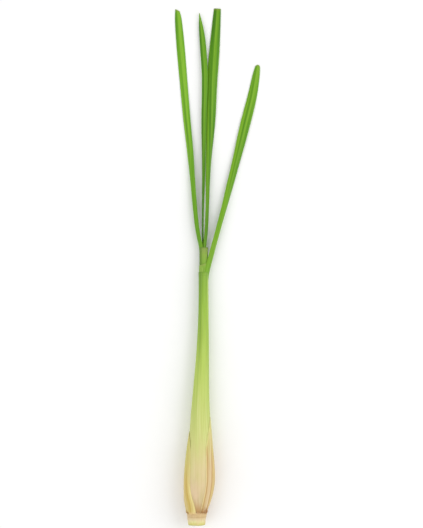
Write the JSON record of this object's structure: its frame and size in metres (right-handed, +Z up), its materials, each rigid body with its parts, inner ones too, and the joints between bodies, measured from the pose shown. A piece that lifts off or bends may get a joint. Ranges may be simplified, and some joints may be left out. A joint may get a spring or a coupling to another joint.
{
  "type": "lemongrass stalk",
  "caption": "Cut lemongrass stalk lying down: trimmed root end, pale swollen base in dry outer sheaths, green stem and a fan of long narrow leaves.",
  "frame": {"origin": "on the surface that the stalk lies on, under the middle of its bounding box", "axes": "+Y along the stalk from the root end to the leaf tips, +X to the side of the first leaf's blade, +Z up from the surface"},
  "size_m": [0.065, 0.3936, 0.021],
  "materials": {
    "root": "moist cut root end, ivory with a pale green rim",
    "dry_sheath": "dry papery sheath, tan with brown torn edges",
    "stem": "smooth waxy sheath, cream to pale green, finely ribbed lengthwise",
    "leaf": "satin green blade with fine parallel veins"
  },
  "bodies": {
    "root": {"root_stump": "root", "dry_sheath_left": "dry_sheath", "dry_sheath_right": "dry_sheath", "first_leaf": "stem", "second_leaf": "leaf", "third_leaf": "leaf", "spear_leaf": "leaf"}
  },
  "joints": []
}
